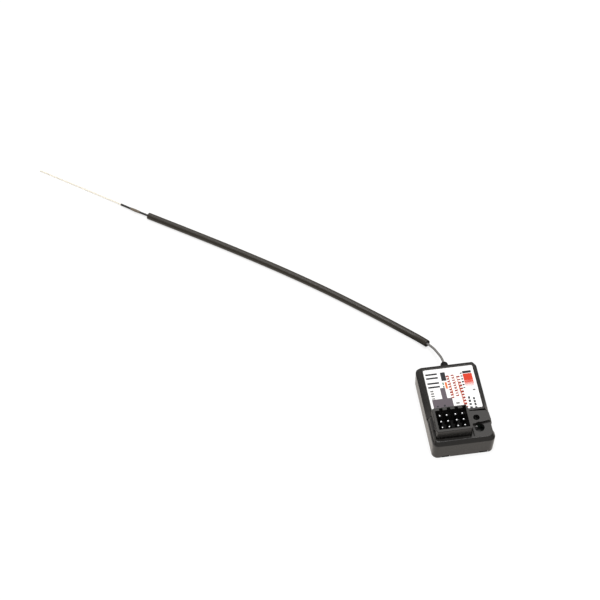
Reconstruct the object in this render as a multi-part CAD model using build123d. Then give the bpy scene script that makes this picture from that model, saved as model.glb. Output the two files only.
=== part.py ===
from build123d import *
import os
from math import cos, pi, radians, sin, sqrt, tan

os.makedirs("parts", exist_ok=True)

# A small radio-control receiver. Millimetres. X runs across the case, +Y points to the end where
# the antenna leaves, +Z is up, and the origin is the middle of the case on the table.

# Case shell
case_width = 23.2
case_length = 35.5
wall = 1.0
roof = 1.0
deck_roof = 1.4
corner_radius = 2.2
wall_lean = 0.2
shoulder_level = 6.8
shoulder_run = 1.7
shoulder_corner = 0.5
shoulder_round = 0.8
back_round = 2.2
platform_level = 9.75
platform_overlap = 0.6

# Front of the case: vertical wall, bevel, low deck and lamp step
front_wall_level = 7.5
deck_level = 8.8
front_bevel = 1.3
deck_left_inset = 0.42
deck_left_lean = 0.45
deck_right_inset = 0.85
deck_edge_round = 0.22
lamp_block_inset_front = 0.48
lamp_block_inset_back = 0.8
shoulder_end_left = 11.55
shoulder_end_right = 10.15
step_at_well = 6.6
step_at_side = 7.65
side_recess_depth = 0.55
side_recess_front = 3.3
side_recess_low = 3.0

# Across the deck, what the plug well and the key opening leave is shared between the left
# margin, the space between the two and the right margin.
spare_left_share = 0.252
spare_middle_share = 0.2025

# Plug well round the header pins
rim_level = 13.0
well_setback = 2.73
well_wall = 1.0
well_back_wall = 1.3
well_front_round = 0.8
well_rim_bevel = 0.15
well_back_left_cut = (0.9, 0.45)
well_back_right_cut = (0.75, 2.0)
foot_groove_width = 0.35
foot_groove_depth = 0.6
side_trench_width = 0.65
side_trench_depth = 1.0
side_trench_lead = 0.85
keyway_width = 1.3
keyway_depth = 0.9
keyway_height = 4.0
keyway_pitch = 2.85
keyway_count = 4
keyway_shift = 0.85

# Header: two blocks of six square pins
pin_pitch = 2.54
pin_rows = 3
columns_per_block = 2
block_gap = 0.69
pin_side = 0.64
pin_tip_level = 12.03
pin_tail = 1.0
pin_point = 0.16
base_height = 2.5
base_trim = 0.05
base_notch = 0.35
plug_clearance = 0.3
pin_hole_radius = 0.52
pin_hole_side_count = 8
solder_height = 0.7
solder_foot_radius = 0.85
solder_tip_radius = 0.5
solder_foot_height = 0.1
solder_side_count = 8

# Circuit board
board_thickness = 1.0
board_level = 2.5
board_gap = 0.35
board_corner = 1.2

# Bottom cover and its snaps
cover_thickness = 1.0
cover_gap = 0.1
post_radius = 1.2
post_side_count = 12
post_side_inset = 2.4
post_end_inset = 1.6
snap_length = 3.4
snap_thickness = 0.7
snap_height = 1.3
snap_barb = 0.25
snap_barb_low = 0.45
snap_barb_high = 1.1
snap_clearance = 0.08
snap_place = 9.0
pry_width = 3.3
pry_height = 0.8
pry_from_left = 5.02
pry_from_right = 4.12
pry_tab_clearance = 0.15
pry_tab_thickness = 0.25

# Label
label_thickness = 0.1
label_bed = 0.12
label_side_margin = 0.5
label_back_margin = 1.45
label_front_margin = 0.17
label_corner = 0.5
label_gap = 0.05

# Key switch, under its opening
key_from_front = 5.39
key_opening_radius = 1.85
switch_width = 3.4
switch_length = 4.4
switch_height = 1.6
switch_well_radius = 1.45
switch_floor = 0.45
switch_round = 0.2
frame_thickness = 0.25
frame_hole_radius = 1.02
frame_strap_width = 1.6
frame_strap_drop = 1.3
plunger_radius = 0.75
plunger_top_below_deck = 2.5
plunger_flange_radius = 1.18
plunger_flange_height = 0.35
plunger_nub_radius = 0.5
plunger_gap = 0.05
plunger_edge = 0.15
dome_radius = 1.2
dome_flat_radius = 0.55
dome_rise = 0.3
dome_thickness = 0.1
lead_width = 0.7
lead_length = 0.6
lead_thickness = 0.15

# Lamp, under its opening
lamp_left_of_key = 0.44
lamp_from_front = 9.2
lamp_opening_radius = 1.2
lamp_length = 2.0
lamp_width = 1.25
lamp_base_height = 0.4
lamp_lens_height = 0.6
lamp_lens_inset = 0.2
light_well_wall = 0.6
light_well_drop = 0.5

# Antenna
antenna_x = -0.15
antenna_level = 6.25
coax_diameter = 0.9
coax_side_count = 10
coax_lift = 0.02
coax_rise = 0.08
coax_end_inset = 10.35
coax_rise_inset = 6.95
coax_top_inset = 3.35
coax_straight_out = 3.45
sleeve_diameter = 2.75
sleeve_side_count = 12
sleeve_bore = 1.5
sleeve_bore_side_count = 8
element_diameter = 0.6
collar_diameter = 1.3
collar_length = 1.2
collar_bore_gap = 0.05
grommet_diameter = 2.9
grommet_stand_out = 1.95
grommet_seat = 0.6
grommet_neck_diameter = 1.9
grommet_flange_diameter = 2.9
grommet_flange = 0.8
grommet_wall_gap = 0.03
grommet_bore_gap = 0.06


half_width = case_width / 2
half_length = case_length / 2
foot_half_width = half_width - wall_lean
foot_half_length = half_length - wall_lean / 2
board_top = board_level + board_thickness


def slab(x_low, x_high, y_low, y_high, radius):
    """A rounded rectangle between four edges."""
    place = Pos((x_low + x_high) / 2, (y_low + y_high) / 2)
    return place * RectangleRounded(x_high - x_low, y_high - y_low, radius)


def centred_slab(half_x, half_y, radius):
    """A rounded rectangle about the origin."""
    return RectangleRounded(2 * half_x, 2 * half_y, radius)


def between(lower, z_low, upper, z_high):
    """The straight-sided solid between two outlines at two levels."""
    return loft([Pos(0, 0, z_low) * lower, Pos(0, 0, z_high) * upper], ruled=True)


def prism(outline, z_low, z_high):
    """An outline extruded between two levels."""
    return extrude(Pos(0, 0, z_low) * outline, amount=z_high - z_low)


def block(x_low, x_high, y_low, y_high, z_low, z_high):
    """A box between six planes."""
    centre = Pos((x_low + x_high) / 2, (y_low + y_high) / 2, (z_low + z_high) / 2)
    return centre * Box(x_high - x_low, y_high - y_low, z_high - z_low)


def post(x, y, radius, z_low, z_high):
    """An upright cylinder between two levels."""
    return Pos(x, y, (z_low + z_high) / 2) * Cylinder(radius, z_high - z_low)


def rod_along_y(x, z, radius, y_low, y_high):
    """A cylinder lying along Y between two planes."""
    place = Pos(x, (y_low + y_high) / 2, z) * Rot(90, 0, 0)
    return place * Cylinder(radius, y_high - y_low)


def many_sided(diameter, sides):
    """A regular polygon with the area of the circle that it stands for."""
    share = pi / (sides / 2 * sin(2 * pi / sides))
    return RegularPolygon(diameter / 2 * sqrt(share), sides)


# Header and well places, from the case's front edge
block_width = columns_per_block * pin_pitch
block_length = pin_rows * pin_pitch
header_width = 2 * block_width + block_gap
pocket_half_width = header_width / 2 + plug_clearance
pocket_half_length = block_length / 2 + plug_clearance
well_half_width = pocket_half_width + well_wall
spare_width = case_width - 2 * well_half_width - 2 * key_opening_radius
well_left = -half_width + spare_left_share * spare_width
well_x = well_left + well_half_width
well_right = well_x + well_half_width
well_front = -half_length + well_setback
well_y = well_front + well_wall + pocket_half_length
well_back = well_y + pocket_half_length + well_back_wall
block_centres = [well_x - (block_width + block_gap) / 2, well_x + (block_width + block_gap) / 2]


def pins_of_block(centre_x):
    """The places of one block's pins, column by column."""
    first_x = centre_x - (columns_per_block - 1) * pin_pitch / 2
    first_y = well_y + (pin_rows - 1) * pin_pitch / 2
    return [
        (first_x + column * pin_pitch, first_y - row * pin_pitch)
        for column in range(columns_per_block)
        for row in range(pin_rows)
    ]


pin_places = [place for centre in block_centres for place in pins_of_block(centre)]

key_x = well_right + spare_middle_share * spare_width + key_opening_radius
key_y = -half_length + key_from_front
lamp_x = key_x - lamp_left_of_key
lamp_y = -half_length + lamp_from_front
platform_front = well_back - platform_overlap


def front_zone(z_low, z_high):
    """The space in front of the shoulders, which end at 45 degrees on both sides."""
    left_end = -half_length + shoulder_end_left
    right_end = -half_length + shoulder_end_right
    beyond = wall
    outline = make_face(Polyline(
        (-half_width - beyond, -half_length - beyond),
        (half_width + beyond, -half_length - beyond),
        (half_width + beyond, right_end - beyond),
        (half_width - shoulder_run, right_end + shoulder_run),
        (-half_width + shoulder_run, left_end + shoulder_run),
        (-half_width - beyond, left_end - beyond),
        close=True,
    ))
    return prism(outline, z_low, z_high)


def lamp_block():
    """The raised step that carries the lamp opening, with its slanted front face."""
    front_at_well = -half_length + step_at_well
    front_at_side = -half_length + step_at_side
    lower = make_face(Polyline(
        (well_x, front_at_well),
        (well_right, front_at_well),
        (half_width, front_at_side),
        (half_width, platform_front + shoulder_run),
        (well_x, platform_front + shoulder_run),
        close=True,
    ))
    upper = make_face(Polyline(
        (well_x, front_at_well),
        (well_right, front_at_well),
        (half_width - lamp_block_inset_front, front_at_side),
        (half_width - lamp_block_inset_back, platform_front + shoulder_run),
        (well_x, platform_front + shoulder_run),
        close=True,
    ))
    return between(lower, shoulder_level, upper, platform_level) & front_zone(0, rim_level)


def back_profile():
    """The platform seen from the side, with its long rounding at the back, across the case."""
    profile = make_face(Polyline(
        (platform_front, shoulder_level),
        (half_length, shoulder_level),
        (half_length - shoulder_run, platform_level),
        (platform_front, platform_level),
        close=True,
    ))
    form = extrude(Plane.YZ.offset(-half_width) * profile, amount=case_width)
    top_back = form.edges().filter_by(Axis.X).group_by(Axis.Z)[-1].sort_by(Axis.Y)[-1]
    return fillet(top_back, back_round)


def shoulders():
    """The raised platform behind the well, with sloping sides and rounded edges."""
    form = between(
        centred_slab(half_width, half_length, corner_radius), shoulder_level,
        centred_slab(half_width - shoulder_run, half_length - shoulder_run, shoulder_corner),
        platform_level,
    )
    form -= block(-case_width, case_width, -case_length, platform_front, 0, rim_level)
    back_edge = form.edges().group_by(Axis.Z)[-1].sort_by(Axis.Y)[-1]
    return fillet(back_edge, shoulder_round) & back_profile()


def side_recess():
    """The shallow recess in the right wall, up to the lamp step, with a slanted front end."""
    bottom = half_width - side_recess_depth
    outside = half_width + wall
    front = -half_length + side_recess_front
    back = -half_length + step_at_side
    outline = make_face(Polyline(
        (bottom, front + side_recess_depth),
        (outside, front - wall),
        (outside, back),
        (bottom, back),
        close=True,
    ))
    return prism(outline, side_recess_low, rim_level)


def outer_form():
    """The closed outside form of the shell, without the plug well."""
    lower = between(
        centred_slab(foot_half_width, foot_half_length, corner_radius), 0,
        centred_slab(half_width, half_length, corner_radius), shoulder_level,
    )
    riser = prism(centred_slab(half_width, half_length, corner_radius),
                  shoulder_level, front_wall_level)
    left, right = -half_width + deck_left_inset, half_width - deck_right_inset
    deck = between(
        slab(left, half_width, -half_length, half_length, corner_radius), front_wall_level,
        slab(left + deck_left_lean, right, -half_length + front_bevel, half_length,
             corner_radius - deck_left_inset), deck_level,
    )
    deck = fillet(deck.edges().group_by(Axis.Z)[-1], deck_edge_round)
    front = (riser + deck) & front_zone(0, rim_level)
    return lower + shoulders() + front + lamp_block() - side_recess()


def cavity():
    """The space inside the shell, one wall in from the outside and one roof down."""
    inner_corner = corner_radius - wall
    middle = platform_front + wall
    roof_run = shoulder_run * (platform_level - roof - shoulder_level) / (
        platform_level - shoulder_level)
    lower = between(
        centred_slab(foot_half_width - wall, foot_half_length - wall, inner_corner), 0,
        centred_slab(half_width - wall, half_length - wall, inner_corner), shoulder_level,
    )
    upper = between(
        centred_slab(half_width - wall, half_length - wall, inner_corner), shoulder_level,
        centred_slab(half_width - wall - roof_run, half_length - wall - roof_run,
                     inner_corner / 2), platform_level - roof,
    )
    upper -= block(-case_width, case_width, -case_length, middle, 0, rim_level)
    front = slab(-half_width + wall, half_width - wall, -half_length + wall, middle,
                 inner_corner / 2)
    return lower + upper + prism(front, shoulder_level, deck_level - deck_roof)


def well_outline(spread):
    """The outside of the plug well, with cut back corners, widened by spread."""
    left_cut_x, left_cut_y = well_back_left_cut
    right_cut_x, right_cut_y = well_back_right_cut
    outline = make_face(Polyline(
        (well_left - spread, well_front - spread),
        (well_right + spread, well_front - spread),
        (well_right + spread, well_back - right_cut_y),
        (well_right - right_cut_x + spread, well_back + spread),
        (well_left + left_cut_x - spread, well_back + spread),
        (well_left - spread, well_back - left_cut_y),
        close=True,
    ))
    corners = outline.vertices().group_by(Axis.Y)[0]
    return fillet(corners, well_front_round + spread)


def pocket():
    """The inside of the plug well, from the board to above the rim."""
    outline = Pos(well_x, well_y) * RectangleRounded(
        2 * pocket_half_width, 2 * pocket_half_length, plug_clearance)
    return prism(outline, 0, rim_level + wall)


def keyways():
    """The notches in the back rim that let only a plug's key side in."""
    first = well_x - (keyway_count - 1) * keyway_pitch / 2 + keyway_shift
    back = well_y + pocket_half_length
    cuts = Part()
    for index in range(keyway_count):
        x = first + index * keyway_pitch
        cuts += block(x - keyway_width / 2, x + keyway_width / 2, back - wall,
                      back + keyway_depth, rim_level - keyway_height, rim_level + wall)
    return cuts


def well_tube():
    """The wall of the plug well, standing on the board."""
    tube = prism(well_outline(0), board_top, rim_level)
    return chamfer(tube.edges().group_by(Axis.Z)[-1], well_rim_bevel)


def foot_grooves():
    """The narrow groove round the foot of the well and the wider trench on its right."""
    ring = prism(well_outline(foot_groove_width), deck_level - foot_groove_depth, rim_level)
    ring -= block(-case_width, case_width, platform_front, case_length, 0, rim_level + wall)
    trench_front = well_front - side_trench_lead
    trench_back = -half_length + step_at_well
    trench = block(well_right - wall, well_right + side_trench_width, trench_front,
                   trench_back, deck_level - side_trench_depth, rim_level)
    return ring + trench & block(-case_width, case_width, -case_length, trench_back,
                                 0, rim_level + wall)


def pry_notches(clearance, height, y_front, y_back):
    """Blocks at the four pry places, for the shell's notches and for the cover's tabs."""
    cuts = Part()
    for centre in (-half_width + pry_from_left, half_width - pry_from_right):
        x_low = centre - pry_width / 2 + clearance
        x_high = centre + pry_width / 2 - clearance
        cuts += block(x_low, x_high, y_front, y_back, 0, height)
        cuts += block(x_low, x_high, -y_back, -y_front, 0, height)
    return cuts


def snap_bars(reach, low, high, half_span):
    """Four bars inside the side walls, for the shell's grooves and the cover's barbs."""
    bars = Part()
    inner = foot_half_width - wall
    for side in (-1, 1):
        for end in (-1, 1):
            x_low, x_high = sorted((side * (inner - snap_thickness), side * (inner + reach)))
            y = end * snap_place
            bars += block(x_low, x_high, y - half_span, y + half_span,
                          cover_thickness + low, cover_thickness + high)
    return bars


def light_well():
    """The short tube that keeps the lamp's light to its opening."""
    ceiling = deck_level - deck_roof
    return post(lamp_x, lamp_y, lamp_opening_radius + light_well_wall,
                ceiling - light_well_drop, ceiling)


def label_outline(gap):
    """The label's outline, up to the back of the plug well."""
    side = half_width - shoulder_run - label_side_margin
    return slab(-side + gap, side - gap, well_back + label_front_margin + gap,
                half_length - shoulder_run - label_back_margin - gap, label_corner)


def grommet_form(gap):
    """A domed nose seated in the back wall, a neck through it and a flange inside, all widened
    by gap."""
    seat = half_length - grommet_seat
    inside = half_length - wall
    nose_radius = grommet_diameter / 2 + gap
    dome_y = half_length + grommet_stand_out - grommet_diameter / 2
    form = rod_along_y(antenna_x, antenna_level, nose_radius, seat, dome_y)
    dome = Rot(-90, 0, 0) * Sphere(nose_radius, arc_size1=0)
    form += Pos(antenna_x, dome_y, antenna_level) * dome
    form += rod_along_y(antenna_x, antenna_level, grommet_neck_diameter / 2 + gap, inside, seat)
    return form + rod_along_y(antenna_x, antenna_level, grommet_flange_diameter / 2 + gap,
                              inside - grommet_flange, inside)


def make_upper_case():
    shell = outer_form() - cavity()
    shell += light_well()
    shell -= foot_grooves()
    shell += well_tube()
    shell -= pocket()
    shell -= keyways()
    shell -= post(lamp_x, lamp_y, lamp_opening_radius, deck_level - deck_roof - light_well_drop,
                  platform_level + wall)
    shell -= post(key_x, key_y, key_opening_radius, deck_level - deck_roof, deck_level + wall)
    shell -= prism(label_outline(0), platform_level - label_bed, platform_level + wall)
    shell -= pry_notches(0, pry_height, -half_length - wall, -foot_half_length + 2 * wall)
    shell -= snap_bars(snap_barb + snap_clearance, snap_barb_low - snap_clearance,
                       snap_barb_high + snap_clearance, snap_length / 2 + snap_clearance)
    return shell - grommet_form(grommet_wall_gap)


def make_bottom_cover():
    cover_half_width = foot_half_width - wall - cover_gap
    cover_half_length = foot_half_length - wall - cover_gap
    cover = prism(centred_slab(cover_half_width, cover_half_length, corner_radius - wall),
                  0, cover_thickness)
    cover += pry_notches(pry_tab_clearance, pry_tab_thickness,
                         -foot_half_length, -cover_half_length + wall)
    for x in (-1, 1):
        for y in (-1, 1):
            place = Pos(x * (cover_half_width - post_side_inset),
                        y * (cover_half_length - post_end_inset))
            cover += prism(place * many_sided(2 * post_radius, post_side_count),
                           cover_thickness, board_level)
    span = snap_length / 2
    cover += snap_bars(-cover_gap, 0, snap_height, span)
    cover += snap_bars(snap_barb, snap_barb_low, snap_barb_high, span)
    return cover


def make_board():
    half_x = foot_half_width - wall - board_gap
    half_y = foot_half_length - wall - board_gap
    board = prism(centred_slab(half_x, half_y, board_corner), board_level, board_top)
    for x, y in pin_places:
        hole = Pos(x, y) * RegularPolygon(pin_hole_radius, pin_hole_side_count)
        board -= prism(hole, board_level - wall, board_top + wall)
    return board


def make_header_base(centre_x):
    """One insulator: a block of six cells with small notches between them."""
    half_x = block_width / 2 - base_trim
    half_y = block_length / 2 - base_trim
    base = block(centre_x - half_x, centre_x + half_x, well_y - half_y, well_y + half_y,
                 board_top, board_top + base_height)
    notch = Rectangle(base_notch, base_notch, rotation=45)
    for row in range(1, pin_rows):
        y = well_y - block_length / 2 + row * pin_pitch
        for x in (centre_x - half_x, centre_x + half_x):
            base -= prism(Pos(x, y) * notch, board_top, board_top + base_height)
    for x, y in pins_of_block(centre_x):
        base -= block(x - pin_side / 2, x + pin_side / 2, y - pin_side / 2, y + pin_side / 2,
                      board_top, board_top + base_height)
    return base


def make_pin(x, y):
    """A square pin with pointed ends."""
    foot = board_level - pin_tail
    pin = block(x - pin_side / 2, x + pin_side / 2, y - pin_side / 2, y + pin_side / 2,
                foot, pin_tip_level)
    ends = pin.edges().group_by(Axis.Z)
    return chamfer(ends[0] + ends[-1], pin_point)


def make_pin_solder():
    """A small cone of solder round each pin under the board."""
    narrowing = (solder_foot_radius - solder_tip_radius) * cos(pi / solder_side_count)
    cones = []
    for x, y in pin_places:
        foot = Pos(x, y) * RegularPolygon(solder_foot_radius, solder_side_count)
        cone = prism(foot, board_level - solder_height, board_level)
        tip = cone.faces().sort_by(Axis.Z)[0]
        cone = chamfer(tip.edges(), narrowing, solder_height - solder_foot_height, reference=tip)
        cone -= block(x - pin_side / 2, x + pin_side / 2, y - pin_side / 2, y + pin_side / 2,
                      0, board_top)
        cones.append(cone.solid())
    return Compound(cones)


# Key switch levels
switch_top = board_top + switch_height
dome_floor = board_top + switch_floor
plunger_top = deck_level - plunger_top_below_deck
flange_top = switch_top - plunger_gap
flange_low = flange_top - plunger_flange_height
nub_low = dome_floor + dome_rise + plunger_gap


def switch_outline():
    """The rounded rectangle of the switch's body and of its cover."""
    half_x, half_y = switch_width / 2, switch_length / 2
    return slab(key_x - half_x, key_x + half_x, key_y - half_y, key_y + half_y, switch_round)


def make_switch_body():
    body = prism(switch_outline(), board_top, switch_top)
    return body - post(key_x, key_y, switch_well_radius, dome_floor, switch_top + wall)


def make_switch_frame():
    """The metal cover of the switch, with a strap folded down each end."""
    frame = prism(switch_outline(), switch_top, switch_top + frame_thickness)
    half = switch_length / 2
    for side in (-1, 1):
        y_low, y_high = sorted((key_y + side * half, key_y + side * (half + frame_thickness)))
        frame += block(key_x - frame_strap_width / 2, key_x + frame_strap_width / 2, y_low, y_high,
                       switch_top - frame_strap_drop, switch_top + frame_thickness)
    return frame - post(key_x, key_y, frame_hole_radius, switch_top - wall, switch_top + wall)


def make_plunger():
    """The key: a round stem with a flange that the metal cover keeps in."""
    stem = post(key_x, key_y, plunger_radius, flange_low, plunger_top)
    stem = chamfer(stem.edges().group_by(Axis.Z)[-1], plunger_edge)
    stem += post(key_x, key_y, plunger_flange_radius, flange_low, flange_top)
    return stem + post(key_x, key_y, plunger_nub_radius, nub_low, flange_low)


def make_dome():
    """The snap dome: a shallow cap of sheet metal, flat in its middle, on the switch's floor."""
    cap = Cone(dome_radius, dome_flat_radius, dome_rise)
    return Pos(key_x, key_y, dome_floor + dome_rise / 2) * (cap - Pos(0, 0, -dome_thickness) * cap)


def make_key_leads():
    leads = []
    for side_x in (-1, 1):
        for side_y in (-1, 1):
            x = key_x + side_x * (switch_width / 2 - lead_width / 2)
            y_near = key_y + side_y * switch_length / 2
            y_low, y_high = sorted((y_near, y_near + side_y * lead_length))
            leads.append(block(x - lead_width / 2, x + lead_width / 2, y_low, y_high,
                               board_top, board_top + lead_thickness).solid())
    return Compound(leads)


def make_lamp_base():
    return block(lamp_x - lamp_length / 2, lamp_x + lamp_length / 2, lamp_y - lamp_width / 2,
                 lamp_y + lamp_width / 2, board_top, board_top + lamp_base_height)


def make_lamp_lens():
    half_x = lamp_length / 2 - lamp_lens_inset
    z_low = board_top + lamp_base_height
    lens = block(lamp_x - half_x, lamp_x + half_x, lamp_y - lamp_width / 2,
                 lamp_y + lamp_width / 2, z_low, z_low + lamp_lens_height)
    return fillet(lens.edges().group_by(Axis.Z)[-1], lamp_lens_inset)


# Packages that the board carries: length, width and height
chip_edge = 0.12
controller_size = (6.5, 4.4, 1.0)
controller_lead_count = 10
controller_lead_pitch = 0.65
controller_lead_width = 0.26
lead_reach = 0.9
rf_chip_size = (4.0, 4.0, 0.85)
crystal_size = (2.5, 2.0, 0.8)
regulator_size = (4.5, 2.5, 1.5)
regulator_lead_count = 3
regulator_lead_pitch = 1.5
regulator_lead_width = 0.45
capacitor_size = (3.5, 2.8, 1.9)
chip_length = 1.0
chip_width = 0.5
chip_height = 0.5
chip_step = 1.5
chip_count = 5

# Their places: two columns, beside the strip that the coax takes, from the well's back
part_gap = 0.6
coax_strip_half_width = 1.2
parts_front = well_back + 2 * part_gap
left_column = antenna_x - coax_strip_half_width
right_column = antenna_x + coax_strip_half_width
resistor_row = (left_column - chip_width / 2, parts_front + chip_length / 2)
controller_place = (
    left_column - controller_size[0] / 2,
    parts_front + chip_length + part_gap + lead_reach + controller_size[1] / 2,
)
regulator_place = (
    left_column - regulator_size[0] / 2,
    controller_place[1] + (controller_size[1] + regulator_size[1]) / 2 + lead_reach + part_gap,
)
capacitor_place = (
    right_column + capacitor_size[0] / 2,
    parts_front + capacitor_size[1] / 2,
)
crystal_place = (
    right_column + capacitor_size[0] + part_gap + crystal_size[0] / 2,
    parts_front + crystal_size[1] / 2,
)
rf_chip_place = (
    right_column + part_gap + rf_chip_size[0] / 2,
    parts_front + capacitor_size[1] + 2 * part_gap + rf_chip_size[1] / 2,
)
capacitor_row = (
    right_column + part_gap,
    rf_chip_place[1] + rf_chip_size[1] / 2 + part_gap + chip_length / 2,
)


def board_part(place, size):
    """A moulded package standing on the board, with its top edges broken."""
    x, y = place
    length, width, height = size
    body = block(x - length / 2, x + length / 2, y - width / 2, y + width / 2,
                 board_top, board_top + height)
    return chamfer(body.edges().group_by(Axis.Z)[-1], chip_edge)


def lead_row(place, depth, count, pitch, width, sides):
    """Flat leads along the long sides of a package."""
    x, y = place
    leads = []
    for side in sides:
        for index in range(count):
            lead_x = x + (index - (count - 1) / 2) * pitch
            y_near = y + side * depth / 2
            y_low, y_high = sorted((y_near, y_near + side * lead_reach))
            leads.append(block(lead_x - width / 2, lead_x + width / 2, y_low, y_high,
                               board_top, board_top + lead_thickness).solid())
    return Compound(leads)


def chip_row(start, direction):
    """A row of small chip parts along X."""
    chips = []
    for index in range(chip_count):
        x = start[0] + direction * index * chip_step
        chips.append(block(x - chip_width / 2, x + chip_width / 2, start[1] - chip_length / 2,
                           start[1] + chip_length / 2, board_top, board_top + chip_height).solid())
    return Compound(chips)


# The antenna's route, point by point: on the board and out through the grommet, the bend down
# to the table, along the sleeve, past its end, and the bare tip
coax_rest = board_top + coax_diameter / 2 + coax_lift
route_in_case = [
    (antenna_x, half_length - coax_end_inset, coax_rest),
    (antenna_x, half_length - coax_rise_inset, coax_rest + coax_rise),
    (antenna_x, half_length - coax_top_inset, antenna_level - coax_lift),
    (antenna_x, half_length + coax_straight_out, antenna_level),
]
route_bend = [
    (-1.03, 25.29, 4.6),
    (-2.08, 29.35, 3.1),
]
route_in_sleeve = [
    (-5.48, 34.6, 1.56),
    (-11.42, 40.21, 1.45),
    (-20.11, 48.23, 1.43),
    (-36.37, 62.62, 1.43),
    (-53.27, 76.21, 1.43),
    (-70.84, 89.34, 1.43),
    (-88.9, 102.25, 1.43),
    (-98.82, 109.21, 1.42),
]
route_past_sleeve = [
    (-109.12, 116.51, 1.4),
]
route_bare = [
    (-120.24, 125.61, 0.62),
    (-133.72, 135.7, 0.36),
    (-147.07, 145.55, 0.34),
]
antenna_route = route_in_case + route_bend + route_in_sleeve + route_past_sleeve + route_bare
sleeve_first_run = len(route_in_case) + len(route_bend) - 1
sleeve_last_run = sleeve_first_run + len(route_in_sleeve)
strip_run = sleeve_last_run + len(route_past_sleeve)
arc_share = 0.45


def route_radii(points):
    """The arc at each corner, as large as its two runs allow."""
    radii = []
    for before, corner, after in zip(points, points[1:], points[2:]):
        run_in = Vector(*corner) - Vector(*before)
        run_out = Vector(*after) - Vector(*corner)
        turn = run_in.get_angle(run_out)
        shorter = min(run_in.length, run_out.length)
        radii.append(arc_share * shorter / tan(radians(turn / 2)))
    return radii


corner_radii = route_radii(antenna_route)


def middle_of_run(index):
    """The middle of a run, which is straight between the arcs of its two corners."""
    return (Vector(*antenna_route[index]) + Vector(*antenna_route[index + 1])) * 0.5


def path_between(first, last, start, end):
    """The route from start to end, round the corners first to last."""
    points = [start] + [Vector(*point) for point in antenna_route[first:last + 1]] + [end]
    return FilletPolyline(*points, radius=corner_radii[first - 1:last])


def rod_on(path, diameter, sides):
    """A rod swept along a path."""
    end = Plane(origin=path @ 0, z_dir=path % 0)
    return sweep(end * many_sided(diameter, sides), path=path)


strip_point = middle_of_run(strip_run)
coax_path = path_between(1, strip_run, Vector(*antenna_route[0]), strip_point)
sleeve_path = path_between(sleeve_first_run + 1, sleeve_last_run,
                           middle_of_run(sleeve_first_run), middle_of_run(sleeve_last_run))
element_path = path_between(strip_run + 1, len(antenna_route) - 2, strip_point,
                            Vector(*antenna_route[-1]))
collar_place = 0.968


def make_collar():
    """A short ring on the coax, past the sleeve."""
    plane = Plane(origin=coax_path @ collar_place, z_dir=coax_path % collar_place)
    outside = many_sided(collar_diameter, coax_side_count)
    bore = many_sided(coax_diameter + 2 * collar_bore_gap, coax_side_count)
    return extrude(plane * (outside - bore), amount=collar_length / 2, both=True)


def make_grommet():
    """The rubber relief for the coax."""
    form = grommet_form(0)
    return form - rod_along_y(antenna_x, antenna_level, coax_diameter / 2 + grommet_bore_gap,
                              half_length - 3 * wall, half_length + 2 * grommet_stand_out)


solder_pad_length = 1.2
solder_pad_width = 1.6
solder_pad_height = 0.8


def make_coax_solder():
    """The solder that holds the coax's end on the board."""
    x, y, _ = antenna_route[0]
    pad = block(x - solder_pad_width / 2, x + solder_pad_width / 2, y - solder_pad_length, y,
                board_top, board_top + solder_pad_height)
    return fillet(pad.edges().group_by(Axis.Z)[-1].group_by(Axis.Y)[0], solder_pad_height / 2)


nodes = {
    "upper_case": make_upper_case(),
    "bottom_cover": make_bottom_cover(),
    "label": prism(label_outline(label_gap), platform_level - label_bed,
                   platform_level - label_bed + label_thickness),
    "circuit_board": make_board(),
    "header_base_left": make_header_base(block_centres[0]),
    "header_base_right": make_header_base(block_centres[1]),
    "pin_solder": make_pin_solder(),
    "key_switch_body": make_switch_body(),
    "key_switch_frame": make_switch_frame(),
    "key_plunger": make_plunger(),
    "key_dome": make_dome(),
    "key_leads": make_key_leads(),
    "led_base": make_lamp_base(),
    "led_lens": make_lamp_lens(),
    "microcontroller": board_part(controller_place, controller_size),
    "microcontroller_leads": lead_row(controller_place, controller_size[1], controller_lead_count,
                                      controller_lead_pitch, controller_lead_width, (-1, 1)),
    "rf_chip": board_part(rf_chip_place, rf_chip_size),
    "crystal": board_part(crystal_place, crystal_size),
    "voltage_regulator": board_part(regulator_place, regulator_size),
    "regulator_leads": lead_row(regulator_place, regulator_size[1], regulator_lead_count,
                                regulator_lead_pitch, regulator_lead_width, (1,)),
    "filter_capacitor": board_part(capacitor_place, capacitor_size),
    "chip_capacitors": chip_row(capacitor_row, 1),
    "chip_resistors": chip_row(resistor_row, -1),
    "coax_solder": make_coax_solder(),
    "antenna_grommet": make_grommet(),
    "antenna_coax": rod_on(coax_path, coax_diameter, coax_side_count),
    "antenna_sleeve": (rod_on(sleeve_path, sleeve_diameter, sleeve_side_count)
                       - rod_on(sleeve_path, sleeve_bore, sleeve_bore_side_count)),
    "antenna_collar": make_collar(),
    "antenna_element": rod_on(element_path, element_diameter, coax_side_count),
}
for number, (pin_x, pin_y) in enumerate(pin_places, start=1):
    nodes[f"header_pin_{number:02d}"] = make_pin(pin_x, pin_y)

for name, solid in nodes.items():
    export_step(solid, f"parts/{name}.step")

print("corner radii", [round(radius, 1) for radius in corner_radii])
for name, path, diameter, bore in (
    ("antenna_coax", coax_path, coax_diameter, 0),
    ("antenna_sleeve", sleeve_path, sleeve_diameter, sleeve_bore),
    ("antenna_element", element_path, element_diameter, 0),
):
    section = pi * (diameter ** 2 - bore ** 2) / 4
    print(name, "length", round(path.length, 2), "volume", round(nodes[name].volume, 2),
          "section times length", round(section * path.length, 2))
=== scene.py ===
import math
import bpy
from mathutils import Matrix, Vector


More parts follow.
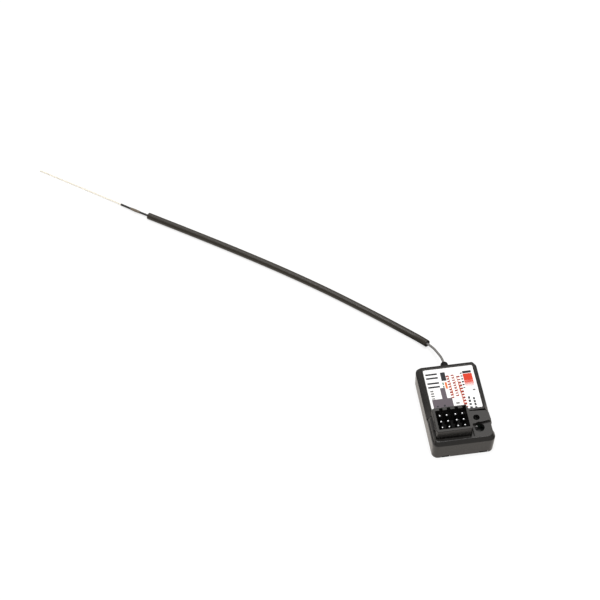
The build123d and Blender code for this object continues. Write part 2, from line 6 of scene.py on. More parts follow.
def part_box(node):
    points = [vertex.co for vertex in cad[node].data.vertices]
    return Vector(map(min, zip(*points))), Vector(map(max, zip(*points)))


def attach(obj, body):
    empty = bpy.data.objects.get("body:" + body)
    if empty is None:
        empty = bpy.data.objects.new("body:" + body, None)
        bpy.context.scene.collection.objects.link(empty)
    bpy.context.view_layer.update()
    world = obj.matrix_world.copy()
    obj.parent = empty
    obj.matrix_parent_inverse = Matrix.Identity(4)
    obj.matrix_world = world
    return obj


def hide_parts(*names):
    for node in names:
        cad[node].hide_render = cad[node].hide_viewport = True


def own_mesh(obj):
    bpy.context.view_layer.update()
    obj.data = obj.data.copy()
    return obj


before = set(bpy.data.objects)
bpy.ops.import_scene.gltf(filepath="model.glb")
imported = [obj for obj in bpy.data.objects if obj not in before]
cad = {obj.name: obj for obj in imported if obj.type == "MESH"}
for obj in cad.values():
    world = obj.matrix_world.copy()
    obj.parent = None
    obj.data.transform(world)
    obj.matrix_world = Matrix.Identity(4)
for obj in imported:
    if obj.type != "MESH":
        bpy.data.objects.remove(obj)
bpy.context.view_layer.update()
scene = bpy.context.scene


# The camera
# A long lens looks down on the case from its plug end, a little from the left, with the whole
# antenna in view. Turn, height, tilt and distance are those of the photograph.
look_at = Vector((-0.0486423, 0.0617, 0.0))
view_turn = math.radians(-8.1421)
view_height = math.radians(52.1735)
view_tilt = math.radians(-0.1505)
view_distance = 0.6
focal_in_pixels = 1524.1
picture_pixels = 600
film_width = 36.0

back = Vector((math.sin(view_turn) * math.cos(view_height),
               -math.cos(view_turn) * math.cos(view_height), math.sin(view_height)))
level_right = Vector((math.cos(view_turn), math.sin(view_turn), 0))
level_up = back.cross(level_right)
right = math.cos(view_tilt) * level_right + math.sin(view_tilt) * level_up
up = math.cos(view_tilt) * level_up - math.sin(view_tilt) * level_right

lens = bpy.data.cameras.new("camera")
lens.sensor_width = film_width
lens.lens = film_width * focal_in_pixels / picture_pixels
lens.clip_start = 0.01
lens.clip_end = 50
camera = bpy.data.objects.new("camera", lens)
scene.collection.objects.link(camera)
camera.matrix_world = Matrix.Translation(look_at + view_distance * back) @ Matrix(
    (right, up, back)).transposed().to_4x4()
scene.camera = camera


# The antenna's coax
# A thin round coax with a smooth extruded jacket, grey near the case and black at its far end. It
# is soldered to the board, leaves through the rubber nose and runs inside the sleeve on the table.
class Varying:
    """A number that changes over a surface, as a node's output, with the usual arithmetic."""

    def __init__(self, finish, socket):
        self.finish = finish
        self.socket = socket

    def maths(self, operation, *values):
        """One step of arithmetic as a node."""
        return self.finish.node(
            "ShaderNodeMath", 0, {"operation": operation}, dict(enumerate(values)))

    def __add__(self, other):
        return self.maths("ADD", self, other)

    def __sub__(self, other):
        return self.maths("SUBTRACT", self, other)

    def __rsub__(self, other):
        return self.maths("SUBTRACT", other, self)

    def __mul__(self, other):
        return self.maths("MULTIPLY", self, other)

    def __gt__(self, other):
        return self.maths("GREATER_THAN", self, other)

    def __lt__(self, other):
        return self.maths("LESS_THAN", self, other)

    __radd__ = __add__
    __rmul__ = __mul__


class Finish:
    """One material, with its patterns laid on Object coordinates. The named values are constants
    of its shader's sockets, with _ for a space."""

    def __init__(self, name, **fixed):
        self.material = bpy.data.materials.new(name)
        self.material.use_nodes = True
        self.tree = self.material.node_tree
        self.shader = self.tree.nodes["Principled BSDF"]
        for socket, value in fixed.items():
            self.set(socket.replace("_", " "), value)
        self.place = self.node("ShaderNodeTexCoord", "Object")

    def set(self, socket_name, value):
        """Links or sets a socket of the surface shader."""
        self.plug(self.shader.inputs[socket_name], value)

    def plug(self, socket, value):
        """Links a socket to a varying number, or sets it."""
        if isinstance(value, Varying):
            self.tree.links.new(value.socket, socket)
        else:
            socket.default_value = value

    def node(self, kind, output, settings=None, sockets=None):
        """Adds a node, with its settings first and then its sockets, and gives one output."""
        made = self.tree.nodes.new(kind)
        for name, value in (settings or {}).items():
            setattr(made, name, value)
        for name, value in (sockets or {}).items():
            self.plug(self.find(made.inputs, name), value)
        return Varying(self, self.find(made.outputs, output))

    def find(self, sockets, name):
        """A socket by number, identifier or name."""
        if isinstance(name, int):
            return sockets[name]
        same = [socket for socket in sockets if socket.identifier == name]
        return same[0] if same else sockets[name]

    def noise(self, scale, detail=2.0, place=None):
        """Smooth noise from 0 to 1, laid on Object coordinates or on another place."""
        return self.node("ShaderNodeTexNoise", "Fac", {}, {
            "Vector": place or self.place, "Scale": scale, "Detail": detail})

    def stretched(self, x, y, z):
        """The Object coordinates multiplied along each axis."""
        return self.node("ShaderNodeMapping", "Vector", {}, {
            "Vector": self.place, "Scale": (x, y, z)})

    def part(self, axis):
        """One of the three Object coordinates."""
        return self.node("ShaderNodeSeparateXYZ", axis, {}, {"Vector": self.place})

    def mix(self, share, first, second):
        """Two colours mixed by a share from 0 to 1."""
        return self.node("ShaderNodeMix", "Result_Color", {"data_type": "RGBA"}, {
            "Factor_Float": share, "A_Color": first, "B_Color": second})

    def fade(self, value, low, high, low_result, high_result):
        """A value carried smoothly from one range to another."""
        return self.node("ShaderNodeMapRange", "Result", {"interpolation_type": "SMOOTHSTEP"}, {
            "Value": value, "From Min": low, "From Max": high, "To Min": low_result,
            "To Max": high_result})

    def bump(self, height, depth, strength=1.0):
        """Feeds the surface's normal from a height."""
        self.set("Normal", self.node("ShaderNodeBump", "Normal", {}, {
            "Height": height, "Distance": depth, "Strength": strength}))


def grey(level, warm=0.0):
    """A grey as a linear colour, warmer for a higher second number."""
    return (level * (1 + warm), level, level * (1 - warm), 1.0)


def cord_curve(name, route, diameter, finish):
    """A round cord on one smooth line, with the route's points as its control points."""
    curve = bpy.data.curves.new(name, "CURVE")
    curve.dimensions = "3D"
    curve.resolution_u = 16
    line = curve.splines.new("NURBS")
    line.points.add(len(route) - 1)
    for point, place in zip(line.points, route):
        point.co = (*place, 1.0)
    line.order_u = 3
    line.use_endpoint_u = True
    curve.bevel_depth = diameter / 2
    curve.bevel_resolution = 8
    curve.use_fill_caps = True
    curve.materials.append(finish.material)
    piece = bpy.data.objects.new(name, curve)
    scene.collection.objects.link(piece)
    return piece


def halfway(index):
    """The middle between a point of the antenna's route and the next."""
    return (antenna_route[index] + antenna_route[index + 1]) / 2


mm = 0.001
antenna_route = [Vector(point) * mm for point in (
    (-0.15, 7.4, 3.97), (-0.15, 10.8, 4.05), (-0.15, 14.4, 6.23), (-0.15, 21.2, 6.25),
    (-1.03, 25.29, 4.6), (-2.08, 29.35, 3.1), (-5.48, 34.6, 1.56), (-11.42, 40.21, 1.45),
    (-20.11, 48.23, 1.43), (-36.37, 62.62, 1.43), (-53.27, 76.21, 1.43), (-70.84, 89.34, 1.43),
    (-88.9, 102.25, 1.43), (-98.82, 109.21, 1.42), (-109.12, 116.51, 1.4), (-120.24, 125.61, 0.62),
    (-133.72, 135.7, 0.36), (-147.07, 145.55, 0.34),
)]
coax_points = 15
strip_point = halfway(coax_points - 1)
coax_diameter = 0.0009
black_beyond_x = -0.1

coax_jacket = Finish("coax jacket")
past_sleeve = coax_jacket.part("X") < black_beyond_x
coax_jacket.set("Base Color", coax_jacket.mix(
    past_sleeve,
    coax_jacket.mix(coax_jacket.noise(900), grey(0.15, 0.04), grey(0.19, 0.04)),
    grey(0.02, 0.05)))
coax_jacket.set("Roughness", 0.36 + 0.12 * coax_jacket.noise(2500, 3))
coax_jacket.bump(coax_jacket.noise(6000, 2), 0.00001, 0.4)

coax = cord_curve("coax", antenna_route[:coax_points] + [strip_point], coax_diameter,
                  coax_jacket)
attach(coax, "receiver")
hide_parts("antenna_coax")


# The antenna's sleeve
# A stiff black-brown tube, extruded and cut square at both ends. It guards the coax between the
# case and the bare end, and shows its bore and the coax in it at each end.
def smooth(mesh):
    """Shades every face of a mesh smooth."""
    mesh.polygons.foreach_set("use_smooth", [True] * len(mesh.polygons))


def add_mesh(name, points, faces, finish):
    """A mesh piece from its points and faces, at its place."""
    mesh = bpy.data.meshes.new(name)
    mesh.from_pydata(points, [], faces)
    mesh.materials.append(finish.material)
    piece = bpy.data.objects.new(name, mesh)
    scene.collection.objects.link(piece)
    return piece


def line_points(curve_piece):
    """The points of a curve's own smooth line, read from a copy that has no thickness."""
    bare = bpy.data.objects.new("bare line", curve_piece.data.copy())
    bare.data.bevel_depth = 0
    scene.collection.objects.link(bare)
    bpy.context.view_layer.update()
    shown = bare.evaluated_get(bpy.context.evaluated_depsgraph_get())
    mesh = bpy.data.meshes.new_from_object(shown)
    points = [vertex.co.copy() for vertex in mesh.vertices]
    bpy.data.meshes.remove(mesh)
    bpy.data.objects.remove(bare)
    return points


def stretch(points, start, end):
    """The points of a line from the one nearest to start to the one nearest to end."""
    first = min(range(len(points)), key=lambda i: (points[i] - start).length)
    last = min(range(len(points)), key=lambda i: (points[i] - end).length)
    return points[first:last + 1]


def tube_along(name, points, profile, sides, finish):
    """A closed tube of revolution on a line. The profile lists, for each ring, the number of a
    line point, an offset in metres along the line from there, and the radius."""
    tangents = []
    for index in range(len(points)):
        ahead = points[min(index + 1, len(points) - 1)]
        behind = points[max(index - 1, 0)]
        tangents.append((ahead - behind).normalized())
    side = tangents[0].orthogonal().normalized()
    frames = []
    for tangent in tangents:
        side = (side - tangent * side.dot(tangent)).normalized()
        frames.append((side.copy(), tangent.cross(side)))
    vertices = []
    for index, offset, radius in profile:
        across, over = frames[index]
        centre = points[index] + tangents[index] * offset
        for turn in range(sides):
            angle = 2 * math.pi * turn / sides
            vertices.append(
                centre + radius * (math.cos(angle) * across + math.sin(angle) * over))
    faces = []
    rings = len(profile)
    for ring in range(rings):
        following = (ring + 1) % rings
        for turn in range(sides):
            after = (turn + 1) % sides
            faces.append((ring * sides + turn, following * sides + turn,
                          following * sides + after, ring * sides + after))
    piece = add_mesh(name, vertices, faces, finish)
    smooth(piece.data)
    return piece


def pipe_profile(count, outer, inner, edge):
    """Outside, end, bore and end again of a pipe on count points, with its end edges broken."""
    last = count - 1
    outside = [(0, 0, outer - edge), (0, edge, outer)]
    outside += [(index, 0, outer) for index in range(1, last)]
    outside += [(last, -edge, outer), (last, 0, outer - edge)]
    bore = [(last, 0, inner + edge), (last, -edge, inner)]
    bore += [(index, 0, inner) for index in range(last - 1, 0, -1)]
    bore += [(0, edge, inner), (0, 0, inner + edge)]
    return list(reversed(outside + bore))


sleeve_diameter = 0.00275
sleeve_bore = 0.0015
sleeve_edge = 0.00008
sleeve_sides = 32
sleeve_from_point = 5
sleeve_to_point = 13

sleeve_plastic = Finish("sleeve plastic")
streaks = sleeve_plastic.noise(60, 3, sleeve_plastic.stretched(1, 1, 12))
sleeve_plastic.set("Base Color", sleeve_plastic.mix(
    streaks, (0.021, 0.017, 0.012, 1), (0.028, 0.023, 0.017, 1)))
sleeve_plastic.set("Roughness", 0.24 + 0.12 * sleeve_plastic.noise(700, 3))
sleeve_plastic.bump(sleeve_plastic.noise(1500, 3), 0.00002, 0.35)

coax_line = line_points(coax)
sleeve_line = stretch(coax_line, halfway(sleeve_from_point), halfway(sleeve_to_point))
sleeve = tube_along("sleeve", sleeve_line, pipe_profile(
    len(sleeve_line), sleeve_diameter / 2, sleeve_bore / 2, sleeve_edge), sleeve_sides,
    sleeve_plastic)
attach(sleeve, "receiver")
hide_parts("antenna_sleeve")


# The rubber nose in the back wall
# A soft black relief, moulded with a flange inside the wall and a neck through it, that keeps the
# coax from a sharp bend. Its end is half a ball, bored for the coax.
nose_start = Vector((-0.00015, 0.01595, 0.00625))
nose_end = Vector((-0.00015, 0.0197, 0.00625))
nose_radius = 0.00145
neck_radius = 0.00095
nose_bore = 0.00051
nose_edge = 0.00004
flange_end = 0.0008
neck_end = 0.0012
ball_start = 0.0023
ball_steps = 14
nose_sides = 40

nose_rubber = Finish("nose rubber", Roughness=0.55, Specular_IOR_Level=0.12)
nose_rubber.set("Base Color", nose_rubber.mix(
    nose_rubber.noise(900, 3), grey(0.007), grey(0.012)))
nose_rubber.bump(nose_rubber.noise(5000, 3), 0.00003, 0.5)

ball_end = math.acos((nose_bore + nose_edge) / nose_radius)
ball_angles = [ball_end * step / ball_steps for step in range(ball_steps + 1)]
nose_outside = [(0, nose_radius - nose_edge), (nose_edge, nose_radius),
                (flange_end - nose_edge, nose_radius), (flange_end, nose_radius - nose_edge),
                (flange_end, neck_radius), (neck_end, neck_radius),
                (neck_end, nose_radius - nose_edge), (neck_end + nose_edge, nose_radius)]
nose_outside += [(ball_start + nose_radius * math.sin(angle), nose_radius * math.cos(angle))
                 for angle in ball_angles]
nose_inside = [(nose_outside[-1][0] - nose_edge, nose_bore), (0, nose_bore)]
nose = tube_along("nose", [nose_start, nose_end], [
    (0, along, radius) for along, radius in reversed(nose_outside + nose_inside)],
    nose_sides, nose_rubber)
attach(nose, "receiver")
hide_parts("antenna_grommet")


# The collar past the sleeve
# A wrap of brown film shrunk on the coax between the sleeve and its bare end, thick in its middle
# and drawn down to the jacket at both ends.
collar_start = 0.944
collar_end = 0.9715
collar_radius = 0.00056
collar_lip = 0.00003
collar_gap = 0.00001
collar_fullness = 0.8
collar_steps = 12
collar_sides = 24

collar_film = Finish("collar film", Roughness=0.45)
collar_film.set("Base Color", collar_film.mix(
    collar_film.noise(1800, 3), grey(0.085, 0.25), grey(0.14, 0.25)))
collar_film.bump(collar_film.noise(4000, 2), 0.00002, 0.5)

travelled = [0.0]
for point, following in zip(coax_line, coax_line[1:]):
    travelled.append(travelled[-1] + (following - point).length)


def along_coax(share):
    """The place at a share of the coax's length, straight between two points of its line."""
    gone = share * travelled[-1]
    index = next(i for i, total in enumerate(travelled) if total > gone)
    part = (gone - travelled[index - 1]) / (travelled[index] - travelled[index - 1])
    return coax_line[index - 1].lerp(coax_line[index], part)


collar_line = [along_coax(collar_start + (collar_end - collar_start) * step / collar_steps)
               for step in range(collar_steps + 1)]
collar_bore = coax_diameter / 2 + collar_gap
collar_outside = []
for step in range(collar_steps + 1):
    swell = math.sin(math.pi * step / collar_steps) ** collar_fullness
    collar_outside.append(
        (step, 0, collar_bore + collar_lip + (collar_radius - collar_bore) * swell))
collar_inside = [(step, 0, collar_bore) for step in range(collar_steps, -1, -1)]
collar = tube_along("collar", collar_line, list(reversed(collar_outside + collar_inside)),
                    collar_sides, collar_film)
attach(collar, "receiver")
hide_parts("antenna_collar")


# The bare end of the antenna
# The coax's inner wire, stripped of its screen, in pale insulation. It is the part that receives,
# and it is cut off square at the tip.
element_diameter = 0.0006

element_insulation = Finish("element insulation", Roughness=0.4)
element_insulation.set("Base Color", element_insulation.mix(
    element_insulation.noise(700, 3), (0.78, 0.72, 0.6, 1), (0.86, 0.81, 0.7, 1)))
element_insulation.bump(element_insulation.noise(5000, 2), 0.00001, 0.4)

element = cord_curve("element", [strip_point] + antenna_route[coax_points:], element_diameter,
                     element_insulation)
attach(element, "receiver")
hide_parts("antenna_element")


# The case
# Two mouldings of black plastic: the shell with its plug well, and the cover that snaps in from
# below. The shell has a satin face; the cover keeps the dull grain of its spark-eroded tool, and
# is
# coloured darker than the shell: painted shade for the snap notches where its tabs show.
def dress(finish, *names):
    """Gives CAD nodes a finish."""
    for name in names:
        for slot in cad[name].material_slots:
            slot.material = finish.material


case_plastic = Finish("case plastic")
cloud = case_plastic.noise(120, 4)
grain = case_plastic.noise(5200, 3)
case_plastic.set("Base Color", case_plastic.mix(
    cloud, grey(0.012, 0.06), grey(0.017, 0.08)))
case_plastic.set("Roughness", 0.17 + 0.08 * cloud + 0.05 * grain)
case_plastic.bump(grain, 0.00003, 0.35)
dress(case_plastic, "upper_case")

cover_plastic_painted_shade = Finish("cover plastic painted shade", Specular_IOR_Level=0.12)
# The colour is darker than the shell's: painted shade, so the tabs in the snap notches read as
# dark slots.
cover_plastic_painted_shade.set("Base Color", cover_plastic_painted_shade.mix(
    cover_plastic_painted_shade.noise(150, 4), grey(0.005, 0.05), grey(0.009, 0.05)))
cover_plastic_painted_shade.set("Roughness", 0.55 + 0.15 * cover_plastic_painted_shade.noise(3000, 3))
cover_plastic_painted_shade.bump(cover_plastic_painted_shade.noise(4200, 3), 0.00004, 0.5)
dress(cover_plastic_painted_shade, "bottom_cover")


# The label
# A white film label, stuck in a shallow bed on the shell and printed in a few colours. Its print
# here is plain: bars, dashes and fields of colour where a printed label has its lines.
label_film = Finish("label film")
label_film.set("Base Color", label_film.mix(
    label_film.noise(60, 3), grey(0.84, 0.01), grey(0.9, 0.005)))
label_film.set("Roughness", 0.34 + 0.1 * label_film.noise(500, 3))
label_film.bump(label_film.noise(900, 3), 0.00001, 0.3)
dress(label_film, "label")

label_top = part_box("label")[1][2]
ink_height = 0.000012
ink_sink = 0.000006
ink_layer = 0.000005
ink_cover = 0.92
film_shine = 0.03
uneven_share = 0.6


def ink(name, colour):
    """A printing ink, a little uneven over the film."""
    finish = Finish(name, Roughness=0.5, Specular_IOR_Level=0.15)
    paler = tuple(ink_cover * part + film_shine for part in colour[:3]) + (1.0,)
    finish.set("Base Color", finish.mix(uneven_share * finish.noise(1500, 3), colour, paler))
    return finish


def ink_field(corners):
    """The points and faces of one flat printed field, from its corners in millimetres,
    counterclockwise from above."""
    low, high = label_top - ink_sink, label_top + ink_height
    count = len(corners)
    points = [(x * mm, y * mm, z) for z in (low, high) for x, y in corners]
    faces = [tuple(reversed(range(count))), tuple(range(count, 2 * count))]
    faces += [(i, (i + 1) % count, count + (i + 1) % count, count + i) for i in range(count)]
    return points, faces


def print_piece(name, shapes, finish):
    """Print of one colour as one piece, from the points and faces of each of its shapes."""
    points, faces = [], []
    for more_points, more_faces in shapes:
        faces += [tuple(len(points) + i for i in face) for face in more_faces]
        points += more_points
    piece = add_mesh(name, points, faces, finish)
    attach(piece, "receiver")


def print_fields(name, fields, finish):
    """Printed fields of one colour as one piece."""
    print_piece(name, [ink_field(corners) for corners in fields], finish)


def bar(left, right_side, front, back_side):
    """The corners of a bar, in millimetres."""
    return [(left, front), (right_side, front), (right_side, back_side), (left, back_side)]


mauve_ink = ink("mauve ink", (0.115, 0.095, 0.11, 1))
dark_ink = ink("dark ink", (0.02, 0.022, 0.026, 1))
grey_ink = ink("grey ink", (0.16, 0.16, 0.155, 1))
red_ink = ink("red ink", (0.62, 0.04, 0.012, 1))
brick_ink = ink("brick ink", (0.3, 0.035, 0.02, 1))
orange_ink = ink("orange ink", (0.72, 0.16, 0.03, 1))
green_ink = ink("green ink", (0.05, 0.16, 0.09, 1))

print_fields("print_mauve", [
    bar(-8.5, -1.0, -4.3, 1.2), bar(-4.6, -2.7, 1.2, 5.9)], mauve_ink)
print_fields("print_dark_bars", [
    bar(-8.8, -4.4, 12.0, 12.75), bar(-8.8, -4.4, 10.3, 11.05),
    bar(-8.8, -4.4, 8.0, 8.75), bar(-8.8, -4.4, 6.3, 7.05),
    bar(-3.26, -1.45, 9.0, 12.8), bar(5.05, 8.3, 11.3, 12.35)], dark_ink)
print_fields("print_green", [
    bar(-3.25, -2.75, 6.0, 6.8), bar(-3.25, -2.75, 7.2, 8.3)], green_ink)
print_fields("print_orange", [bar(-2.35, -1.6, 5.4, 8.3)], orange_ink)
red_left, red_right = 5.0, 8.4
print_fields("print_red_field", [bar(red_left, red_right, 8.0, 11.1)], red_ink)


smallest_dash = (0.75, 0.55, 1.0)
largest_dash = (1.0, 1.0, 1.0)


def dash_tree():
    """Geometry nodes for a row of printed dashes: a line of points, each with a box on it whose
    width and length vary a little."""
    tree = bpy.data.node_groups.new("dash row", "GeometryNodeTree")
    inputs = (("Count", "NodeSocketInt"), ("Pitch", "NodeSocketFloat"),
              ("Width", "NodeSocketFloat"), ("Length", "NodeSocketFloat"),
              ("Height", "NodeSocketFloat"), ("Seed", "NodeSocketInt"),
              ("Ink", "NodeSocketMaterial"))
    sockets = {name: tree.interface.new_socket(name, in_out="INPUT", socket_type=kind).identifier
               for name, kind in inputs}
    tree.interface.new_socket("Geometry", in_out="OUTPUT", socket_type="NodeSocketGeometry")
    made = tree.nodes.new
    link = tree.links.new
    given = made("NodeGroupInput").outputs
    step = made("ShaderNodeCombineXYZ")
    link(given["Pitch"], step.inputs["Y"])
    row = made("GeometryNodeMeshLine")
    link(given["Count"], row.inputs["Count"])
    link(step.outputs[0], row.inputs["Offset"])
    size = made("ShaderNodeCombineXYZ")
    link(given["Width"], size.inputs["X"])
    link(given["Length"], size.inputs["Y"])
    link(given["Height"], size.inputs["Z"])
    dash = made("GeometryNodeMeshCube")
    link(size.outputs[0], dash.inputs["Size"])
    spread = made("FunctionNodeRandomValue")
    spread.data_type = "FLOAT_VECTOR"
    spread.inputs["Min"].default_value = smallest_dash
    spread.inputs["Max"].default_value = largest_dash
    link(given["Seed"], spread.inputs["Seed"])
    copies = made("GeometryNodeInstanceOnPoints")
    link(row.outputs[0], copies.inputs["Points"])
    link(dash.outputs["Mesh"], copies.inputs["Instance"])
    link(spread.outputs["Value"], copies.inputs["Scale"])
    real = made("GeometryNodeRealizeInstances")
    link(copies.outputs[0], real.inputs[0])
    inked = made("GeometryNodeSetMaterial")
    link(real.outputs[0], inked.inputs["Geometry"])
    link(given["Ink"], inked.inputs["Material"])
    link(inked.outputs[0], made("NodeGroupOutput").inputs[0])
    return tree, sockets


dash_nodes, dash_sockets = dash_tree()


def dash_row(start, end, width, pitch, length, finish, seed, top):
    """A row of dashes from start to end, in millimetres, standing out of the film by top, as a
    plain mesh."""
    start = Vector((*start, 0))
    run = Vector((*end, 0)) - start
    carrier = bpy.data.objects.new("dash carrier", bpy.data.meshes.new("dash carrier"))
    scene.collection.objects.link(carrier)
    rows = carrier.modifiers.new("dashes", "NODES")
    rows.node_group = dash_nodes
    values = {"Count": int(run.length / pitch), "Pitch": pitch * mm, "Width": width * mm,
              "Length": length * mm, "Height": top + ink_sink, "Seed": seed,
              "Ink": finish.material}
    for name, value in values.items():
        rows[dash_sockets[name]] = value
    bpy.context.view_layer.update()
    shown = carrier.evaluated_get(bpy.context.evaluated_depsgraph_get())
    mesh = bpy.data.meshes.new_from_object(shown)
    bpy.data.objects.remove(carrier)
    turn = math.atan2(-run.x, run.y)
    level = label_top + (top - ink_sink) / 2
    mesh.transform(Matrix.Translation((start.x * mm, start.y * mm, level))
                   @ Matrix.Rotation(turn, 4, "Z"))
    return mesh


def dash_piece(name, rows, finish, layer):
    """Rows of dashes in one colour as one piece, printed over the layers before. Each row has
    its start, end, width, pitch and dash length in millimetres."""
    shapes = []
    for seed, (start, end, width, pitch, length) in enumerate(rows):
        mesh = dash_row(start, end, width, pitch, length, finish, seed,
                        ink_height + layer * ink_layer)
        shapes.append(([vertex.co.copy() for vertex in mesh.vertices],
                       [tuple(face.vertices) for face in mesh.polygons]))
        bpy.data.meshes.remove(mesh)
    print_piece(name, shapes, finish)


dash_piece("print_red_dashes", [
    ((-0.65, 1.2), (-0.85, 12.6), 1.15, 1.2, 0.8),
    ((1.25, 1.8), (1.05, 12.2), 1.15, 1.15, 0.75),
    ((3.45, -3.4), (3.0, 12.0), 1.35, 1.35, 0.95),
], brick_ink, 1)
dash_piece("print_orange_dashes", [
    ((-0.25, 1.75), (-0.45, 12.4), 0.45, 1.2, 0.5),
    ((1.75, 2.3), (1.55, 12.0), 0.4, 1.15, 0.45),
    ((2.95, -2.75), (2.5, 11.6), 0.5, 1.35, 0.55),
], orange_ink, 2)
dash_piece("print_dark_dashes", [
    ((4.45, 5.0), (4.45, 13.0), 0.75, 1.3, 0.7),
    ((5.2, -4.0), (5.2, 3.2), 0.95, 1.45, 1.2),
    ((6.95, -4.1), (6.95, 1.9), 0.8, 1.3, 1.1),
    ((-6.9, -1.9), (-6.9, 0.6), 0.7, 2.4, 0.8),
    ((-4.3, -1.9), (-4.3, 0.6), 0.7, 2.4, 0.8),
], dark_ink, 3)
dash_piece("print_grey_dashes", [
    ((-7.8, 1.6), (-7.8, 6.4), 1.3, 1.1, 0.7),
    ((0.7, -3.0), (0.7, 0.8), 1.3, 1.6, 1.1),
    ((7.8, 3.6), (7.8, 5.2), 1.0, 1.0, 1.0),
], grey_ink, 4)


# The red field's fade
# Bars of the same red ink that thin out towards the plug well, as a printed screen does. They
# lie on the film like the rest of the print.
fade_front = 5.1
fade_back = 7.75
fade_bars = 7
fade_fields = []
for index in range(fade_bars):
    share = (index + 1) / fade_bars
    middle = fade_front + (fade_back - fade_front) * share
    half_width = 0.5 * share * (fade_back - fade_front) / fade_bars
    fade_fields.append(bar(red_left, red_right, middle - half_width, middle + half_width))
print_fields("print_red_fade", fade_fields, red_ink)


# The header pins
# Square brass pins, cut and pointed at the tip, that the plugs slide on to. The tips are bright
# with tin; down in the well the shafts are coloured near black, painted shade for the well's
# depth.
# Heights where the painted shade on the shafts fades into the bright tin of the tips.
pin_shade_fade_low = 0.01155
pin_shade_fade_high = 0.01185

pin_metal = Finish("pin metal", Metallic=1.0)
# Below the tips the colour fades by height to near black: painted shade down in the well.
tin_over_painted_shade = pin_metal.fade(pin_metal.part("Z"), pin_shade_fade_low, pin_shade_fade_high, 0.0, 1.0)
shaft_painted_shade = pin_metal.mix(
    pin_metal.noise(2500, 3), (0.014, 0.011, 0.007, 1), (0.026, 0.02, 0.013, 1))
pin_metal.set("Base Color", pin_metal.mix(tin_over_painted_shade, shaft_painted_shade, (0.93, 0.96, 0.98, 1)))
pin_metal.set("Roughness", 0.16 + 0.16 * pin_metal.noise(6000, 3))
pin_metal.bump(pin_metal.noise(4000, 2, pin_metal.stretched(1, 1, 0.1)), 0.00001, 0.4)
dress(pin_metal, *(name for name in cad if name.startswith("header_pin")))


# The header insulators
# Two dull black mouldings at the foot of the pins. They are seated on the board, and the pins are
# pressed through them.
header_plastic = Finish("header plastic", Roughness=0.7, Specular_IOR_Level=0.05)
header_plastic.set("Base Color", header_plastic.mix(
    header_plastic.noise(700, 3), grey(0.008), grey(0.014)))
header_plastic.bump(header_plastic.noise(4500, 3), 0.00002, 0.4)
dress(header_plastic, "header_base_left", "header_base_right")


# The circuit board
# Glass-fibre laminate under green mask, with faint copper runs below it. It rests on the ledges
# inside the shell.
run_scale = 500.0
run_edge = 0.32

board_laminate = Finish("board laminate", Roughness=0.35)
runs = board_laminate.node("ShaderNodeTexVoronoi", "Distance", {"distance": "CHEBYCHEV"}, {
    "Vector": board_laminate.place, "Scale": run_scale})
board_laminate.set("Base Color", board_laminate.mix(
    runs > run_edge, (0.004, 0.016, 0.008, 1), (0.007, 0.026, 0.013, 1)))
board_laminate.bump(runs, 0.00004, 0.3)
dress(board_laminate, "circuit_board")


# Solder and leads
# Bright tin on the pins' tails, the coax's end and the small parts' legs. The joints are hardened
# drops of it, and the legs are dipped in it.
solder = Finish("solder", Metallic=1.0)
solder.set("Base Color", solder.mix(solder.noise(2500, 3), grey(0.6), grey(0.78)))
solder.set("Roughness", 0.2 + 0.25 * solder.noise(3500, 3))
solder.bump(solder.noise(3000, 3), 0.00005, 0.5)
dress(solder, "pin_solder", "coax_solder", "key_leads", "microcontroller_leads", "regulator_leads")


# The setup key's switch
# A small push switch on the board: a black body, a thin metal cover coloured near black as painted
# shade for the deep opening over it, and a dark round key that shows in its opening, over a sprung
# steel dome.
switch_plastic = Finish("switch plastic", Roughness=0.5)
switch_plastic.set("Base Color", switch_plastic.mix(
    switch_plastic.noise(900, 3), grey(0.01), grey(0.018)))
switch_plastic.bump(switch_plastic.noise(4500, 3), 0.00002, 0.4)
dress(switch_plastic, "key_switch_body", "key_plunger")

switch_metal_painted_shade = Finish("switch metal painted shade", Metallic=1.0)
# The metal's colour is kept near black: painted shade for the deep opening over the switch.
switch_metal_painted_shade.set("Base Color", switch_metal_painted_shade.mix(
    switch_metal_painted_shade.noise(1200, 3, switch_metal_painted_shade.stretched(1, 8, 1)), grey(0.03), grey(0.08)))
switch_metal_painted_shade.set("Roughness", 0.22 + 0.2 * switch_metal_painted_shade.noise(2600, 3))
switch_metal_painted_shade.bump(switch_metal_painted_shade.noise(2500, 3, switch_metal_painted_shade.stretched(1, 10, 1)), 0.00001, 0.4)
dress(switch_metal_painted_shade, "key_switch_frame")


# The dome under the key
# A cap of thin spring steel, pressed to a low crown that is flat where the key's foot meets it. It
# lies on the switch's floor at its rim; its crown gives way under the key in use, and is built
# here at rest.
dome_low, dome_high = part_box("key_dome")
dome_middle = (dome_low + dome_high) / 2
dome_radius = (dome_high[0] - dome_low[0]) / 2
dome_rise = dome_high[2] - dome_low[2]
dome_flat_radius = 0.00055
dome_thickness = 0.0001
dome_rings = 10
dome_sides = 64


def dome_profile(lowered):
    """Radius and height from the rim to the flat, of the cap lowered by this much."""
    rim_share = 1 - lowered / dome_rise
    profile = []
    for step in range(dome_rings + 1):
        up_share = step / dome_rings
        profile.append((
            dome_flat_radius + rim_share * (1 - up_share) * (dome_radius - dome_flat_radius),
            dome_low[2] + (dome_rise - lowered) * math.sin(math.pi / 2 * up_share)))
    return profile


dome_steel = Finish("dome steel", Metallic=1.0)
dome_steel.set("Base Color", dome_steel.mix(dome_steel.noise(1600, 3), grey(0.4), grey(0.55)))
dome_steel.set("Roughness", 0.18 + 0.15 * dome_steel.noise(3000, 3))
dome_steel.bump(dome_steel.noise(3500, 2), 0.00001, 0.3)

